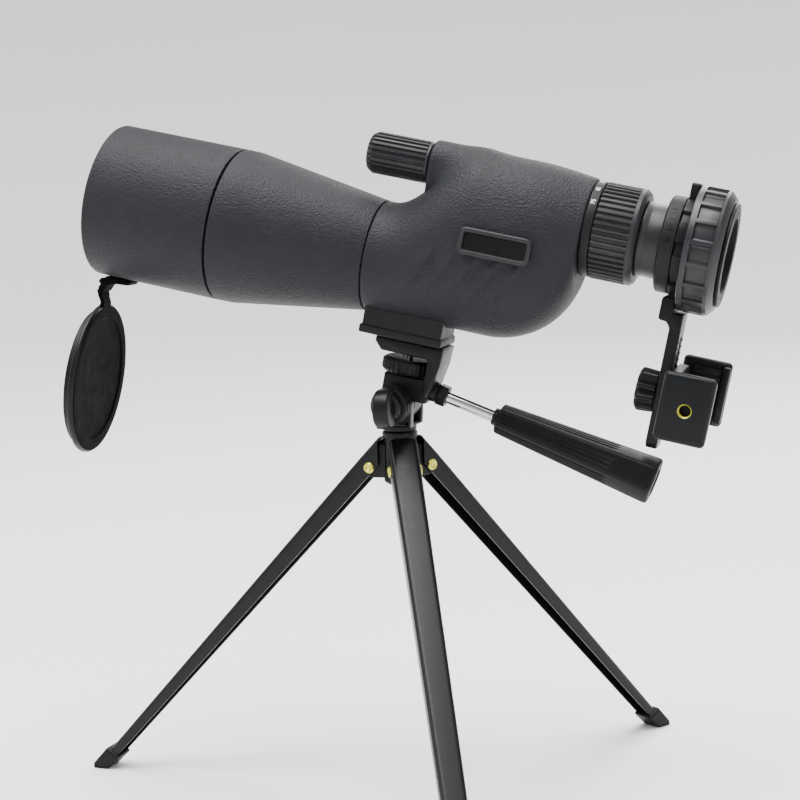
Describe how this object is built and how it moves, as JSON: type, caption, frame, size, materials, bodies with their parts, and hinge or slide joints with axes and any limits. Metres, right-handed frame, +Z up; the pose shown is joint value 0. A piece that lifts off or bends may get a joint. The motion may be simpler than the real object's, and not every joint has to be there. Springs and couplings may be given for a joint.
{
  "type": "spotting scope",
  "caption": "Zoom spotting scope with hinged lens cap and offset eyepiece, on a folding table tripod with a pan and tilt head, with a phone clamp adapter on the eyepiece.",
  "frame": {"origin": "centre of the footprint, on the surface the feet stand on", "axes": "+Z up, the scope points to -X, the eyepiece to +X, the badge side to -Y"},
  "size_m": [0.3498, 0.3214, 0.3433],
  "materials": {
    "armour": "fine pebbled rubber armour, slate grey",
    "black_plastic": "satin moulded plastic",
    "rubber": "matt black rubber",
    "black_metal": "black anodised",
    "leg_metal": "satin gunmetal sheet steel",
    "chrome": "polished",
    "brass": "bright, yellow passivated",
    "glass": "coated optical glass"
  },
  "bodies": {
    "hub": {"hub": "black_plastic", "rivet_front": "brass", "rivet_right": "brass", "rivet_left": "brass"},
    "leg_front": {"leg_front": "leg_metal", "foot_front": "rubber"},
    "leg_right": {"leg_right": "leg_metal", "foot_right": "rubber"},
    "leg_left": {"leg_left": "leg_metal", "foot_left": "rubber"},
    "pan_head": {"pan_yoke": "black_plastic"},
    "scope_head": {"tilt_bracket": "black_plastic", "mount_foot": "black_plastic", "foot_bush": "brass", "prism_housing": "armour", "front_tube": "armour", "objective_crown": "glass", "objective_flint": "glass", "objective_ring": "black_metal", "prism_lower": "glass", "prism_upper": "glass", "prism_plate": "black_metal", "badge": "black_plastic", "eyepiece_tube": "black_metal", "eyepiece_barrel": "black_metal", "eyecup": "rubber", "field_lens": "glass", "eye_lens": "glass"},
    "tilt_knob": {"tilt_knob": "black_plastic"},
    "handle": {"handle_rod": "chrome", "handle_grip": "rubber"},
    "screw_wheel": {"screw_wheel": "black_metal"},
    "sunshade": {"sunshade": "armour", "strap_lug": "rubber"},
    "lens_cap": {"lens_cap": "rubber", "cap_strap": "rubber"},
    "focus_knob": {"focus_knob": "rubber", "focus_rod": "chrome"},
    "focus_lens": {"focus_cell": "black_metal", "focus_lens": "glass"},
    "zoom_ring": {"zoom_scale_ring": "black_plastic", "zoom_grip": "rubber"},
    "zoom_lens": {"zoom_cell": "black_metal", "zoom_lens": "glass"},
    "adapter": {"adapter_collar": "black_plastic", "adapter_arm": "black_plastic", "adapter_pad": "rubber"},
    "ring_nut": {"ring_nut": "black_plastic"},
    "clamp": {"clamp_base": "black_plastic", "clamp_insert": "brass", "clamp_pad": "rubber"},
    "lock_knob": {"lock_knob": "black_plastic"},
    "sliding_jaw": {"sliding_jaw": "black_plastic", "guide_rod_upper": "chrome", "guide_rod_lower": "chrome", "jaw_pad": "rubber"}
  },
  "joints": [
    {"name": "leg_front_fold", "type": "hinge", "parent": "hub", "child": "leg_front", "pos_m": [0.01371, -0.0045, 0.1714], "axis": [0.9107, 0.4131, 0], "range_deg": [0, 42]},
    {"name": "leg_right_fold", "type": "hinge", "parent": "hub", "child": "leg_right", "pos_m": [0.01611, 0.01998, 0.1714], "axis": [-0.8131, 0.5821, 0], "range_deg": [0, 42]},
    {"name": "leg_left_fold", "type": "hinge", "parent": "hub", "child": "leg_left", "pos_m": [-0.00629, 0.00982, 0.1714], "axis": [-0.0976, -0.9952, 0], "range_deg": [0, 42]},
    {"name": "head_pan", "type": "hinge", "parent": "hub", "child": "pan_head", "pos_m": [0.00784, 0.00843, 0.192], "axis": [0, 0, 1], "continuous": true},
    {"name": "head_tilt", "type": "hinge", "parent": "pan_head", "child": "scope_head", "pos_m": [0.00854, 0.00843, 0.204], "axis": [0, 1, 0], "range_deg": [-30, 25]},
    {"name": "tilt_knob_turn", "type": "hinge", "parent": "pan_head", "child": "tilt_knob", "pos_m": [0.00854, -0.01657, 0.204], "axis": [0, 1, 0], "range_deg": [0, 180]},
    {"name": "handle_turn", "type": "hinge", "parent": "scope_head", "child": "handle", "pos_m": [0.02797, 0.00843, 0.20816], "axis": [0.9299, 0, -0.3678], "range_deg": [0, 350]},
    {"name": "screw_wheel_turn", "type": "hinge", "parent": "scope_head", "child": "screw_wheel", "pos_m": [0.01247, 0.00843, 0.22208], "axis": [0.2127, 0, 0.9771], "range_deg": [0, 720]},
    {"name": "sunshade_slide", "type": "slide", "parent": "scope_head", "child": "sunshade", "axis": [-0.9771, 0, 0.2127], "range_m": [0, 0.03]},
    {"name": "cap_swing", "type": "hinge", "parent": "sunshade", "child": "lens_cap", "pos_m": [-0.14933, 0.00843, 0.26088], "axis": [-0.0477, 0.9988, 0.0104], "range_deg": [-34, 183.1]},
    {"name": "focus_turn", "type": "hinge", "parent": "scope_head", "child": "focus_knob", "pos_m": [0.01331, 0.00843, 0.32321], "axis": [0.9771, 0, -0.2127], "range_deg": [-360, 360]},
    {"name": "focus_lens_slide", "type": "slide", "parent": "scope_head", "child": "focus_lens", "axis": [0.9771, 0, -0.2127], "range_m": [-0.006, 0.006]},
    {"name": "zoom_turn", "type": "hinge", "parent": "scope_head", "child": "zoom_ring", "pos_m": [0.11923, 0.00843, 0.28419], "axis": [0.9771, 0, -0.2127], "range_deg": [0, 120]},
    {"name": "zoom_lens_slide", "type": "slide", "parent": "scope_head", "child": "zoom_lens", "axis": [0.9771, 0, -0.2127], "range_m": [0, 0.018]},
    {"name": "adapter_pull_off", "type": "slide", "parent": "scope_head", "child": "adapter", "axis": [0.9771, 0, -0.2127], "range_m": [0, 0.032]},
    {"name": "ring_nut_turn", "type": "hinge", "parent": "adapter", "child": "ring_nut", "pos_m": [0.15968, 0.00843, 0.27539], "axis": [0.9771, 0, -0.2127], "range_deg": [0, 60]},
    {"name": "clamp_slide", "type": "slide", "parent": "adapter", "child": "clamp", "axis": [0.2127, 0, 0.9771], "range_m": [-0.014, 0.02]},
    {"name": "lock_knob_turn", "type": "hinge", "parent": "clamp", "child": "lock_knob", "pos_m": [0.13073, 0.00843, 0.21056], "axis": [0.9771, 0, -0.2127], "range_deg": [0, 350]},
    {"name": "jaw_slide", "type": "slide", "parent": "clamp", "child": "sliding_jaw", "axis": [0, 1, 0], "range_m": [0, 0.026], "stiffness_N_per_m": 200, "springref_m": -0.01}
  ],
  "couplings": [
    {"joint": "focus_lens_slide", "follows": "focus_turn", "m_per_rad": 0.0009548},
    {"joint": "zoom_lens_slide", "follows": "zoom_turn", "m_per_rad": 0.008593}
  ]
}
